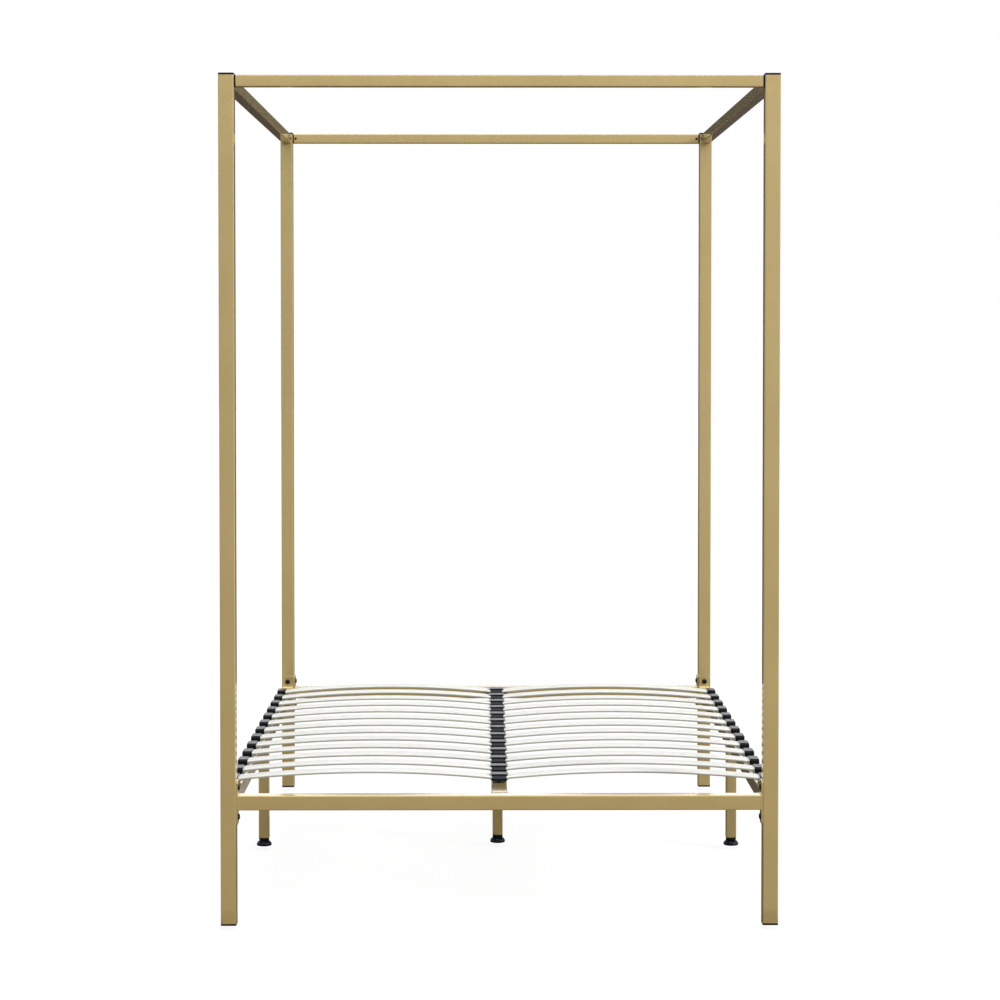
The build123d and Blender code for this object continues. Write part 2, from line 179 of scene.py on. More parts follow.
def makeLight(look):
    sun = bpy.data.lights.new("keySun", "SUN")
    sun.energy = look["sunBrightness"] * math.pi
    sun.angle = math.radians(look["sunAngle"])
    keySun = bpy.data.objects.new("keySun", sun)
    bpy.context.scene.collection.objects.link(keySun)
    keySun.rotation_euler = Vector(look["sunWay"]).to_track_quat("Z", "Y").to_euler()
    world = bpy.data.worlds.new("paleStudio")
    bpy.context.scene.world = world
    world.use_nodes = True
    tree = world.node_tree
    tree.nodes.clear()
    seen = addNode(tree, "ShaderNodeBackground", {"Color": (1, 1, 1, 1), "Strength": look["backdrop"]})
    strength, tone = makeStudio(tree, look)
    studio = addNode(tree, "ShaderNodeBackground", {}, {"Strength": strength, "Color": tone})
    direct = addNode(tree, "ShaderNodeLightPath").outputs["Is Camera Ray"]
    mix = addNode(tree, "ShaderNodeMixShader", {}, {0: direct, 1: studio.outputs[0], 2: seen.outputs[0]})
    addNode(tree, "ShaderNodeOutputWorld", {}, {"Surface": mix.outputs[0]})
    bpy.context.scene.view_settings.view_transform = "Standard"


# flat stage object that isn't part of the bed
def layStage(bm, name, material):
    mesh = bpy.data.meshes.new(name)
    bm.to_mesh(mesh)
    bm.free()
    mesh.materials.append(material)
    sheet = bpy.data.objects.new(name, mesh)
    bpy.context.scene.collection.objects.link(sheet)
    sheet.visible_diffuse = False
    sheet.visible_shadow = False
    return sheet


# matt white studio floor, lit from inside a little so that it stays pale under the bed
def makeFloor(look):
    bm = bmesh.new()
    bmesh.ops.create_grid(bm, x_segments=1, y_segments=1, size=look["floorSide"] / 2)
    bmesh.ops.translate(bm, vec=(0, 0, -look["floorDrop"]), verts=bm.verts)
    material = bpy.data.materials.new("mattWhiteFloor")
    material.use_nodes = True
    shader = material.node_tree.nodes["Principled BSDF"]
    shader.inputs["Roughness"].default_value = 0.9
    shader.inputs["Specular IOR Level"].default_value = 0.1
    shader.inputs["Base Color"].default_value = (look["floorTone"],) * 3 + (1,)
    shader.inputs["Emission Color"].default_value = (1, 1, 1, 1)
    shader.inputs["Emission Strength"].default_value = look["floorGlow"]
    layStage(bm, "paleFloor", material).visible_glossy = False


# dark sheet on the floor under the bed, seen only in reflections: painted shade that the frame mirrors in
# place of the shadowed floor
def makeShadeSheet(look):
    bm = bmesh.new()
    for left, right, front, rear in look["shadeSheets"]:
        verts = bmesh.ops.create_grid(bm, x_segments=1, y_segments=1, size=0.5)["verts"]
        bmesh.ops.scale(bm, vec=(right - left, rear - front, 1), verts=verts)
        middle = ((left + right) / 2, (front + rear) / 2, look["flagHeight"])
        bmesh.ops.translate(bm, vec=middle, verts=verts)
    material = bpy.data.materials.new("paintedUnderBedShade")
    material.use_nodes = True
    shader = material.node_tree.nodes["Principled BSDF"]
    shader.inputs["Roughness"].default_value = 1.0
    shader.inputs["Base Color"].default_value = hexColour(look["shadeSheetHue"])
    layStage(bm, "shadeFlag", material).visible_camera = False


makeLight(lightLook)
makeFloor(lightLook)
makeShadeSheet(lightLook)
print("light and floor set")


# materials

def startMaterial(name):
    material = bpy.data.materials.new(name)
    material.use_nodes = True
    tree = material.node_tree
    coords = addNode(tree, "ShaderNodeTexCoord")
    return material, tree, tree.nodes["Principled BSDF"], coords.outputs["Object"]


# repeats per metre for a pattern whose real size is given in millimetres
def perMetre(sizeInMm):
    return 1 / (sizeInMm * mm)


# colour between two hex values by a node's output
def mixHex(tree, low, high, amount):
    hues = {"data_type": "RGBA", 6: hexColour(low), 7: hexColour(high)}
    return addNode(tree, "ShaderNodeMix", hues, {0: amount}).outputs[2]


# soft noise whose grain is given in millimetres
def addNoise(tree, place, sizeInMm, detail):
    settings = {"Scale": perMetre(sizeInMm), "Detail": detail}
    return addNode(tree, "ShaderNodeTexNoise", settings, {"Vector": place}).outputs[0]


# bump from a pattern, its depth in millimetres
def raiseBump(tree, shader, height, strength, depth):
    bump = addNode(tree, "ShaderNodeBump", {"Strength": strength, "Distance": depth * mm}, {"Height": height})
    tree.links.new(bump.outputs[0], shader.inputs["Normal"])


# powder coat with fine metal flake over steel: a satin, slightly sparkling champagne gold with orange peel
powderLook = {
    "low": "#A89460",
    "high": "#B8A470",
    "patchSize": 240,  # mm, slow drift of the colour along a tube
    "hazeSize": 35,  # mm, where hands and cloths have polished the coat
    "flakeSize": 1.6,  # mm; real flake is 0.05, drawn coarser to show
    "flakeSpread": 0.02,  # how much lighter or darker a flake may be
    "peelSize": 2.4,  # mm, orange peel of a sprayed and baked coat
    "peelDepth": 0.015,  # mm
    "roughLow": 0.13,
    "roughHigh": 0.19,
    "metallic": 0.50,
    "coat": 0.35,
    "coatRough": 0.06,
}


def makePowderCoat(look):
    material, tree, shader, place = startMaterial("champagneFlakePowderCoat")
    patches = addNoise(tree, place, look["patchSize"], 3.0)
    base = mixHex(tree, look["low"], look["high"], patches)
    flakes = addNode(tree, "ShaderNodeTexVoronoi", {"Scale": perMetre(look["flakeSize"])}, {"Vector": place})
    grey = addNode(tree, "ShaderNodeSeparateColor", {}, {0: flakes.outputs["Color"]})
    span = {"To Min": 1 - look["flakeSpread"], "To Max": 1 + look["flakeSpread"]}
    lift = addNode(tree, "ShaderNodeMapRange", span, {"Value": grey.outputs[0]})
    scale = {"operation": "SCALE"}
    tinted = addNode(tree, "ShaderNodeVectorMath", scale, {0: base, "Scale": lift.outputs[0]})
    tree.links.new(tinted.outputs[0], shader.inputs["Base Color"])
    haze = addNoise(tree, place, look["hazeSize"], 4.0)
    span = {"From Min": 0.3, "From Max": 0.7, "To Min": look["roughLow"], "To Max": look["roughHigh"]}
    rough = addNode(tree, "ShaderNodeMapRange", span, {"Value": haze})
    tree.links.new(rough.outputs[0], shader.inputs["Roughness"])
    raiseBump(tree, shader, addNoise(tree, place, look["peelSize"], 2.0), 0.2, look["peelDepth"])
    shader.inputs["Metallic"].default_value = look["metallic"]
    shader.inputs["Coat Weight"].default_value = look["coat"]
    shader.inputs["Coat Roughness"].default_value = look["coatRough"]
    return material


# bent birch ply with a white lacquered face: milky white top with faint grain; the lower part of the edge is
# grey, partly the ply's own tone and partly painted shade for the shadow along the slat's lower edge
slatLook = {
    "lacquer": "#D2D2CF",
    "lacquerShade": "#C9C8C4",
    # the two edge greys are partly the ply's own tone, partly painted shade for the shadow under the slat's
    # edge
    "ply": "#A9AFA6",
    "plyLineAndShade": "#848A83",
    "lacquerFrom": 0.60,  # share of the thickness from the underside where the white starts
    "lacquerFade": 0.03,
    "plyLayers": 5,
    "plyWaver": 0.35,  # how far the grain pushes the layer lines about, in layers
    "grainWidth": 1.8,  # mm
    "grainLength": 160,  # mm
    "gloss": 0.12,  # a thin satin lacquer
    "roughLow": 0.30,
    "roughHigh": 0.42,
    "roughSawn": 0.7,
}


def makeSlatMaterial(look):
    material, tree, shader, place = startMaterial("whiteLacqueredBirchPly")
    depth = addNode(tree, "ShaderNodeAttribute", {"attribute_name": "plyDepth"}).outputs["Fac"]
    stretch = (perMetre(look["grainLength"]), perMetre(look["grainWidth"]), perMetre(look["grainWidth"]))
    laid = addNode(tree, "ShaderNodeMapping", {"vector_type": "POINT", "Scale": stretch}, {"Vector": place})
    settings = {"Scale": 1.0, "Detail": 4.0, "Roughness": 0.6}
    grain = addNode(tree, "ShaderNodeTexNoise", settings, {"Vector": laid.outputs[0]}).outputs[0]
    white = mixHex(tree, look["lacquerShade"], look["lacquer"], grain)
    # veneer layers show as thin lines along the grey edge, whose darkness is partly painted shade
    count = {"operation": "MULTIPLY", 1: float(look["plyLayers"])}
    layers = addNode(tree, "ShaderNodeMath", count, {0: depth}).outputs[0]
    waver = {"operation": "MULTIPLY_ADD", 1: look["plyWaver"]}
    wobble = addNode(tree, "ShaderNodeMath", waver, {0: grain, 2: layers}).outputs[0]
    wave = addNode(tree, "ShaderNodeMath", {"operation": "PINGPONG", 1: 0.5}, {0: wobble}).outputs[0]
    line = addNode(tree, "ShaderNodeMapRange", {"From Min": 0.08, "From Max": 0.3}, {"Value": wave})
    plyEdgeAndShade = mixHex(tree, look["plyLineAndShade"], look["ply"], line.outputs[0])
    # below this share of the thickness the edge takes the grey with painted shade, above it the white lacquer
    start = look["lacquerFrom"]
    fade = {"From Min": start - look["lacquerFade"], "From Max": start + look["lacquerFade"]}
    border = addNode(tree, "ShaderNodeMapRange", fade, {"Value": depth}).outputs[0]
    colour = addNode(tree, "ShaderNodeMix", {"data_type": "RGBA"}, {0: border, 6: plyEdgeAndShade, 7: white})
    tree.links.new(colour.outputs[2], shader.inputs["Base Color"])
    span = {"To Min": look["roughLow"], "To Max": look["roughHigh"]}
    smooth = addNode(tree, "ShaderNodeMapRange", span, {"Value": grain})
    sawn = {"data_type": "FLOAT", 2: look["roughSawn"]}
    rough = addNode(tree, "ShaderNodeMix", sawn, {0: border, 3: smooth.outputs[0]})
    tree.links.new(rough.outputs[0], shader.inputs["Roughness"])
    raiseBump(tree, shader, grain, 0.3, 0.08)
    shader.inputs["Specular IOR Level"].default_value = look["gloss"]
    return material


# injection moulded black plastic: near black with a soft sheen and a fine spark-eroded texture
plasticLook = {
    "low": "#050607",
    "high": "#0C0D10",
    "sheen": "#D3E2F4",  # cool tint of what it mirrors
    "ior": 1.53,
    "gloss": 0.18,
    "mottleSize": 14,  # mm, flow marks
    "textureSize": 0.9,  # mm; the real texture is 0.1, drawn coarser to show
    "roughLow": 0.20,
    "roughHigh": 0.34,
}


def makePlastic(look):
    material, tree, shader, place = startMaterial("mouldedBlackNylon")
    mottle = addNoise(tree, place, look["mottleSize"], 2.0)
    tree.links.new(mixHex(tree, look["low"], look["high"], mottle), shader.inputs["Base Color"])
    span = {"To Min": look["roughLow"], "To Max": look["roughHigh"]}
    rough = addNode(tree, "ShaderNodeMapRange", span, {"Value": mottle})
    tree.links.new(rough.outputs[0], shader.inputs["Roughness"])
    raiseBump(tree, shader, addNoise(tree, place, look["textureSize"], 3.0), 0.4, 0.03)
    shader.inputs["IOR"].default_value = look["ior"]
    shader.inputs["Specular IOR Level"].default_value = look["gloss"]
    shader.inputs["Specular Tint"].default_value = hexColour(look["sheen"])
    return material


# turned or pressed steel with a plated finish: crystals or wear that show as lighter rubbed spots
def makePlating(name, low, high, metallic, roughLow, roughHigh, rubbedSize):
    material, tree, shader, place = startMaterial(name)
    rubbed = addNoise(tree, place, rubbedSize, 5.0)
    spread = addNode(tree, "ShaderNodeMapRange", {"From Min": 0.42, "From Max": 0.66}, {"Value": rubbed})
    tree.links.new(mixHex(tree, low, high, spread.outputs[0]), shader.inputs["Base Color"])
    rough = addNode(tree, "ShaderNodeMapRange", {"To Min": roughLow, "To Max": roughHigh}, {"Value": rubbed})
    tree.links.new(rough.outputs[0], shader.inputs["Roughness"])
    raiseBump(tree, shader, rubbed, 0.3, 0.02)
    shader.inputs["Metallic"].default_value = metallic
    return material


powderCoat = makePowderCoat(powderLook)
slatWhite = makeSlatMaterial(slatLook)
blackNylon = makePlastic(plasticLook)
# black zinc on steel screws: dark, half glossy, slightly lighter where the key has rubbed
blackZinc = makePlating("blackZincSteel", "#08080A", "#1B1B1E", 0.6, 0.26, 0.42, 3.0)
# bright zinc on pressed nuts: pale grey crystals
brightZinc = makePlating("brightZincSteel", "#9DA0A1", "#C4C6C5", 1.0, 0.25, 0.45, 4.0)
print("materials made")


# helpers for meshes

def addBlock(bm, centre, size):
    verts = bmesh.ops.create_cube(bm, size=1)["verts"]
    bmesh.ops.scale(bm, vec=size, verts=verts)
    bmesh.ops.translate(bm, vec=centre, verts=verts)
    return verts


# edges of a bmesh that run along one axis, 0 for X, 1 for Y, 2 for Z
def edgesAlong(bm, axis):
    found = []
    for edge in bm.edges:
        way = edge.verts[1].co - edge.verts[0].co
        if abs(way[axis]) > 0.999 * way.length:
            found.append(edge)
    return found


def roundOff(bm, edges, radius, segments):
    bmesh.ops.bevel(bm, geom=edges, offset=radius, offset_type="OFFSET", affect="EDGES",
                    segments=segments, profile=0.5, material=-1, clamp_overlap=True)


def facesTowards(bm, axis, sign):
    return [face for face in bm.faces if face.normal[axis] * sign > 0.99]


def endFaces(bm, axis):
    return facesTowards(bm, axis, 1) + facesTowards(bm, axis, -1)


# the edges of some faces or vertices, each once and always in the same order
def edgesOf(parts, name):
    return list(dict.fromkeys(edge for part in parts for edge in getattr(part, name)))


# softens the rims of both end faces
def easeEnds(bm, axis, ease):
    roundOff(bm, edgesOf(endFaces(bm, axis), "edges"), ease, 2)


# moves the vertices of a fresh extrusion
def moveNew(bm, made, shift):
    verts = [part for part in made if isinstance(part, bmesh.types.BMVert)]
    bmesh.ops.translate(bm, vec=shift, verts=verts)


def pushFaces(bm, faces, shift):
    made = bmesh.ops.extrude_face_region(bm, geom=faces)["geom"]
    moveNew(bm, made, shift)
    return [part for part in made if isinstance(part, bmesh.types.BMFace)]


# adds a copy of one bmesh to another, moved by a matrix
def addCopy(bm, part, matrix=None):
    mesh = bpy.data.meshes.new("copy")
    part.to_mesh(mesh)
    if matrix is not None:
        mesh.transform(matrix)
        if matrix.determinant() < 0:
            mesh.flip_normals()
    bm.from_mesh(mesh)
    bpy.data.meshes.remove(mesh)


def tidy(bm):
    bmesh.ops.remove_doubles(bm, verts=bm.verts, dist=0.002 * mm)
    bmesh.ops.recalc_face_normals(bm, faces=bm.faces)


# the finished piece: shaded smooth with its sharp edges kept, riding on its body in place of CAD nodes
def finishPiece(bm, name, material, replaced, body="root", crease=32):
    mesh = bpy.data.meshes.new(name)
    bm.to_mesh(mesh)
    bm.free()
    mesh.shade_smooth()
    mesh.set_sharp_from_angle(angle=math.radians(crease))
    mesh.materials.append(material)
    piece = bpy.data.objects.new(name, mesh)
    bpy.context.scene.collection.objects.link(piece)
    weighted = piece.modifiers.new("weightedNormals", "WEIGHTED_NORMAL")
    weighted.keep_sharp = True
    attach(piece, body)
    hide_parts(*replaced)
    return piece


def boxOf(node):
    low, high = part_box(node)
    return (low + high) / 2, high - low


# square tube with rounded long edges and a real wall, open at both ends
def addTube(bm, centre, size, axis, look):
    part = bmesh.new()
    addBlock(part, centre, size)
    roundOff(part, edgesAlong(part, axis), look["radius"], look["segments"])
    bmesh.ops.delete(part, geom=endFaces(part, axis), context="FACES_ONLY")
    tidy(part)
    bmesh.ops.solidify(part, geom=part.faces[:], thickness=look["wall"])
    addCopy(bm, part)
    part.free()


# flat plate with rounded corners and eased rims, lying across an axis
def addPlate(bm, centre, size, axis, radius, ease):
    part = bmesh.new()
    addBlock(part, centre, size)
    roundOff(part, edgesAlong(part, axis), radius, 5)
    easeEnds(part, axis, ease)
    tidy(part)
    addCopy(bm, part)
    part.free()


# closed loop of edges round a square with rounded corners, at a height above Z = 0
def squareLoop(bm, width, depth, radius, height, segments=5):
    verts = bmesh.ops.create_grid(bm, x_segments=1, y_segments=1, size=0.5)["verts"]
    face = verts[0].link_faces[0]
    bmesh.ops.scale(bm, vec=(width, depth, 1), verts=verts)
    bmesh.ops.translate(bm, vec=(0, 0, height), verts=verts)
    bmesh.ops.bevel(bm, geom=verts, offset=radius, offset_type="OFFSET", affect="VERTICES",
                    segments=segments, profile=0.5, material=-1)
    flat = [face for face in bm.faces if all(abs(vert.co.z - height) < 1e-7 for vert in face.verts)
            and len(face.verts) == 4 * (segments + 1)]
    edges = list(flat[0].edges)
    bmesh.ops.delete(bm, geom=flat, context="FACES_ONLY")
    return edges


def circleLoop(bm, radius, height, segments=24):
    verts = bmesh.ops.create_circle(bm, segments=segments, radius=radius, cap_ends=False)["verts"]
    bmesh.ops.translate(bm, vec=(0, 0, height), verts=verts)
    return edgesOf(verts, "link_edges")


def bridgeAll(bm, loops):
    for first, second in zip(loops, loops[1:]):
        bmesh.ops.bridge_loops(bm, edges=first + second)


# turns a profile of (radius, height) points round the Z axis
def addTurned(bm, profile, steps):
    verts = [bm.verts.new((radius, 0, height)) for radius, height in profile]
    edges = [bm.edges.new(pair) for pair in zip(verts, verts[1:])]
    bmesh.ops.spin(bm, geom=verts + edges, cent=(0, 0, 0), axis=(0, 0, 1), dvec=(0, 0, 0),
                   angle=2 * math.pi, steps=steps, use_merge=True)


# matrix that takes a part built along +Z to a place, facing a direction, turned about its own axis
def facing(place, direction, turn=0):
    return (Matrix.Translation(place) @ Vector(direction).to_track_quat("Z", "Y").to_matrix().to_4x4()
            @ Matrix.Rotation(turn, 4, "Z"))


# posts and their caps

postLook = {"radius": 3 * mm, "segments": 5, "wall": 1.5 * mm}
postNodes = ["post_front_left", "post_front_right", "post_rear_left", "post_rear_right"]
for node in postNodes:
    bm = bmesh.new()
    centre, size = boxOf(node)
    addTube(bm, centre, size, 2, postLook)
    finishPiece(bm, node.replace("post", "tube"), powderCoat, [node])

capLook = {
    "side": 40 * mm,
    "height": 5 * mm,
    "radius": 3 * mm,
    "ease": 0.7 * mm,
    "plugSide": 36.6 * mm,
    "plugDepth": 8 * mm,
    "plugWall": 2 * mm,
    "plugFloor": 1 * mm,
}


# push-in cap: square lid with a softened rim and a hollow plug underneath
def makeCap(look):
    part = bmesh.new()
    side = look["side"]
    addBlock(part, (0, 0, look["height"] / 2), (side, side, look["height"]))
    roundOff(part, edgesAlong(part, 2), look["radius"], 5)
    top = facesTowards(part, 2, 1)[0]
    roundOff(part, list(top.edges), look["ease"], 3)
    under = facesTowards(part, 2, -1)
    bmesh.ops.inset_region(part, faces=under, thickness=(side - look["plugSide"]) / 2, use_even_offset=True)
    end = pushFaces(part, under, (0, 0, -look["plugDepth"]))
    bmesh.ops.inset_region(part, faces=end, thickness=look["plugWall"], use_even_offset=True)
    pushFaces(part, end, (0, 0, look["plugDepth"] - look["plugFloor"]))
    tidy(part)
    return part


def postCorners():
    return {node: boxOf(node) for node in postNodes}


cap = makeCap(capLook)
topCaps = bmesh.new()
footCaps = bmesh.new()
for centre, size in postCorners().values():
    addCopy(topCaps, cap, Matrix.Translation((centre.x, centre.y, centre.z + size.z / 2)))
    addCopy(footCaps, cap, facing((centre.x, centre.y, centre.z - size.z / 2), (0, 0, -1)))
finishPiece(topCaps, "post_caps_upper", blackNylon, ["post_top_caps"])
finishPiece(footCaps, "post_caps_lower", blackNylon, ["post_foot_caps"])
cap.free()
print("posts and caps made")


# base rails with welded end plates

railLook = {
    "side": 38 * mm,
    "radius": 2.5 * mm,
    "segments": 4,
    "wall": 1.5 * mm,
    "plateThickness": 4 * mm,
    "plateRadius": 5 * mm,
    "plateEase": 0.6 * mm,
    "beadSize": 2.6 * mm,
    "beadRoot": 0.4 * mm,  # how far the bead reaches into the steel
    "beadRipple": 0.35 * mm,
    "ripplePitch": 3.0 * mm,
    "boltOffset": 38 * mm,
}


# fillet weld round a tube where it meets a plate; built on Z = 0 with the tube along +Z.
# spread says how far the bead may reach on the X and the Y sides, as shares of its size
def makeBead(look, width, depth, spread):
    part = bmesh.new()
    reach = look["beadSize"]
    root = -look["beadRoot"]
    sizes = [(root, reach), (0.45 * reach, 0.75 * reach), (0.75 * reach, 0.45 * reach), (reach, root)]
    loops = []
    for out, height in sizes:
        outX = out * spread[0] if out > 0 else out
        outY = out * spread[1] if out > 0 else out
        radius = look["radius"] + max(outX, 0)
        loops.append(squareLoop(part, width + 2 * outX, depth + 2 * outY, radius, height))
    bridgeAll(part, loops)
    long = [edge for edge in part.edges if edge.calc_length() > 4 * look["ripplePitch"]]
    cuts = int(2 * width / look["ripplePitch"])
    bmesh.ops.subdivide_edges(part, edges=long, cuts=cuts, use_grid_fill=True)
    for vert in part.verts:
        run = vert.co.x if abs(vert.co.x) < width / 2 else vert.co.y
        swell = math.sin(run / look["ripplePitch"] * 2 * math.pi) * look["beadRipple"]
        if 0 < vert.co.z < reach:
            outward = Vector((vert.co.x, vert.co.y, 0)).normalized()
            vert.co += (outward + Vector((0, 0, 1))) * swell * 0.5
    tidy(part)
    return part


# square tube along an axis with a plate and a weld bead on both ends
def makeRail(node, axis, across, height, plateSize, look, spread, name):
    bm = bmesh.new()
    centre, size = boxOf(node)
    tubeSize = Vector((across, across, across))
    tubeSize[axis] = size[axis] - 2 * look["plateThickness"]
    tubeSize.z = height
    addTube(bm, centre, tubeSize, axis, look)
    bead = makeBead(look, height, across, spread)
    for sign in (-1, 1):
        place = centre.copy()
        place[axis] += sign * (size[axis] - look["plateThickness"]) / 2
        addPlate(bm, place, plateSize, axis, look["plateRadius"], look["plateEase"])
        inward = Vector((0, 0, 0))
        inward[axis] = -sign
        root = centre.copy()
        root[axis] += sign * (size[axis] / 2 - look["plateThickness"])
        side = Vector((0, 0, 1)).cross(inward)
        turned = Matrix((Vector((0, 0, 1)), side, inward)).transposed().to_4x4()
        addCopy(bm, bead, Matrix.Translation(root) @ turned)
    bead.free()
    finishPiece(bm, name, powderCoat, [node])


for node, axis in (("front_rail", 0), ("rear_rail", 0), ("left_side_rail", 1), ("right_side_rail", 1)):
    size = boxOf(node)[1]
    plateSize = Vector((size.x, size.y, size.z))
    plateSize[axis] = railLook["plateThickness"]
    makeRail(node, axis, railLook["side"], railLook["side"], plateSize, railLook, (1, 0.12), node + "_welded")

beamSize = boxOf("centre_beam")[1]
beamLook = dict(railLook, width=40 * mm, height=38 * mm, plateHeight=36 * mm, boltOffset=31 * mm)
beamPlate = (beamSize.x, beamLook["plateThickness"], beamLook["plateHeight"])
makeRail("centre_beam", 1, beamLook["width"], beamLook["height"], beamPlate, beamLook, (0.12, 1),
         "centre_beam_welded")
print("base rails and beam made")


# canopy rails and their connectors

canopyLook = {"radius": 2.5 * mm, "segments": 4, "wall": 1.5 * mm}
canopyNodes = {"canopy_front_rail": 0, "canopy_rear_rail": 0, "canopy_left_rail": 1, "canopy_right_rail": 1}
for node, axis in canopyNodes.items():
    bm = bmesh.new()
    centre, size = boxOf(node)
    addTube(bm, centre, size, axis, canopyLook)
    finishPiece(bm, node.replace("rail", "tube"), powderCoat, [node])

connectorLook = {
    "side": 30 * mm,
    "flange": 4.5 * mm,
    "radius": 2.5 * mm,
    "ease": 0.3 * mm,
    "plugSide": 26.4 * mm,
    "plugLength": 30 * mm,
    "spigotRadius": 6 * mm,
    "spigotLength": 7 * mm,
    "spigotTaper": 0.5 * mm,
    "spigotRoot": 1 * mm,
    "screwDistance": 10.5 * mm,
}


# connector on Z = 0: flange above it, plug up inside the canopy rail, spigot down into the post
def makeConnector(look):
    part = bmesh.new()
    addBlock(part, (0, 0, look["flange"] / 2), (look["side"], look["side"], look["flange"]))
    roundOff(part, edgesAlong(part, 2), look["radius"], 5)
    easeEnds(part, 2, look["ease"])
    top = facesTowards(part, 2, 1)
    step = (look["side"] - look["plugSide"]) / 2 - look["ease"]
    bmesh.ops.inset_region(part, faces=top, thickness=step, use_even_offset=True)
    pushFaces(part, top, (0, 0, look["plugLength"]))
    tidy(part)
    peg = bmesh.new()
    length = look["spigotLength"] + look["spigotRoot"]
    bmesh.ops.create_cone(peg, cap_ends=True, segments=24, radius1=look["spigotRadius"] - look["spigotTaper"],
                          radius2=look["spigotRadius"], depth=length)
    bmesh.ops.translate(peg, vec=(0, 0, look["spigotRoot"] - length / 2), verts=peg.verts)
    addCopy(part, peg)
    peg.free()
    return part


canopyZ = boxOf("canopy_front_rail")[0].z
railZ = boxOf("front_rail")[0].z


# the two inner faces of every post: the point on the face, the way along the rail, and the rail's inner side
def innerFaces():
    found = []
    for centre, size in postCorners().values():
        side = math.copysign(1, centre.x)
        end = math.copysign(1, centre.y)
        across = Vector((-side, 0, 0))
        along = Vector((0, -end, 0))
        found.append((Vector((centre.x - side * size.x / 2, centre.y, 0)), across, along))
        found.append((Vector((centre.x, centre.y - end * size.y / 2, 0)), along, across))
    return found


connector = makeConnector(connectorLook)
connectors = bmesh.new()
for point, way, inner in innerFaces():
    addCopy(connectors, connector, facing((point.x, point.y, canopyZ), way))
finishPiece(connectors, "canopy_connector_set", blackNylon, ["canopy_connectors"])
connector.free()
print("canopy made")


# bolts and screws

# shank and head are radii, socket is the size across its flats
boltLook = {
    "railBolt": {"shank": 3.95, "length": 14, "head": 8, "height": 4.6, "socket": 5},
    "smallBolt": {"shank": 2.95, "length": 12, "head": 6, "height": 3.4, "socket": 4},
    "canopyScrew": {"shank": 1.75, "length": 10, "head": 3.8, "height": 2.2, "socket": 2},
    # shares of the head or the shank
    "rimShare": 0.22,
    "crownShare": 0.42,
    "tipShare": 0.8,
    "tipRise": 0.3,
    "socketShare": 0.55,
    "domeSteps": 6,
}


# button head screw with its head on Z = 0: turned dome, hexagon socket, plain shank
def makeBolt(look, name):
    part = bmesh.new()
    shank, length, head, tall, socketSize = [size * mm for size in look[name].values()]
    rim = look["rimShare"] * tall
    crown = look["crownShare"] * head
    ease = 0.3 * mm
    profile = [(0, -length), (shank * look["tipShare"], -length), (shank, -length + shank * look["tipRise"]),
               (shank, 0), (head - ease, 0), (head, ease)]
    for step in range(look["domeSteps"] + 1):
        angle = step / look["domeSteps"] * math.pi / 2
        profile.append((crown + (head - crown) * math.cos(angle), rim + (tall - rim) * math.sin(angle)))
    addTurned(part, profile, 24)
    bmesh.ops.remove_doubles(part, verts=part.verts, dist=0.002 * mm)
    rimEdges = [edge for edge in part.edges if edge.is_boundary]
    socket = circleLoop(part, socketSize / math.sqrt(3), tall - ease / 2, 6)
    bmesh.ops.subdivide_edges(part, edges=socket, cuts=3)
    socket = [edge for edge in part.edges if edge.is_wire]
    bmesh.ops.bridge_loops(part, edges=rimEdges + socket)
    deep = bmesh.ops.extrude_edge_only(part, edges=socket)["geom"]
    moveNew(part, deep, (0, 0, -look["socketShare"] * tall))
    bmesh.ops.holes_fill(part, edges=part.edges, sides=0)
    tidy(part)
    return part


railBolt = makeBolt(boltLook, "railBolt")
smallBolt = makeBolt(boltLook, "smallBolt")
canopyScrew = makeBolt(boltLook, "canopyScrew")
railBolts = bmesh.new()
canopyScrews = bmesh.new()
plate = railLook["plateThickness"]
for point, way, inner in innerFaces():
    for offset in (-railLook["boltOffset"], railLook["boltOffset"]):
        place = Vector((point.x, point.y, railZ + offset)) + way * plate
        addCopy(railBolts, railBolt, facing(place, way, random.uniform(0, 1)))
    place = Vector((point.x, point.y, canopyZ)) + way * connectorLook["screwDistance"]
    place += inner * connectorLook["side"] / 2
    addCopy(canopyScrews, canopyScrew, facing(place, inner, random.uniform(0, 1)))
finishPiece(railBolts, "rail_bolt_set", blackZinc, ["rail_bolts"])
finishPiece(canopyScrews, "canopy_screw_set", blackZinc, ["canopy_screws"])

beamBolts = bmesh.new()
beamCentre = boxOf("centre_beam")[0]
for end in (-1, 1):
    for x in (-beamLook["boltOffset"], beamLook["boltOffset"]):
        place = (beamCentre.x + x, end * (beamSize.y / 2 - plate), beamCentre.z)
        addCopy(beamBolts, smallBolt, facing(place, (0, -end, 0), random.uniform(0, 1)))
finishPiece(beamBolts, "beam_bolt_set", blackZinc, ["beam_bolts"])
print("bolts and screws made")


# support legs, inserts and levelling feet

legLook = {
    "side": 30 * mm,
    "radius": 2.5 * mm,
    "segments": 4,
    "wall": 1.5 * mm,
    "plateThickness": 3 * mm,
    "plateRadius": 5 * mm,
    "plateEase": 0.5 * mm,
    "beadSize": 2.2 * mm,
    "beadRoot": 0.4 * mm,
    "beadRipple": 0.3 * mm,
    "ripplePitch": 2.6 * mm,
    "boltOffset": 33 * mm,
}
insertLook = {
    "flange": 2 * mm,
    "plugSide": 26.6 * mm,
    "plugRadius": 1.2 * mm,
    "plugTop": 22 * mm,
    "bore": 5 * mm,
    "radius": 2.5 * mm,
    "ease": 0.5 * mm,
}


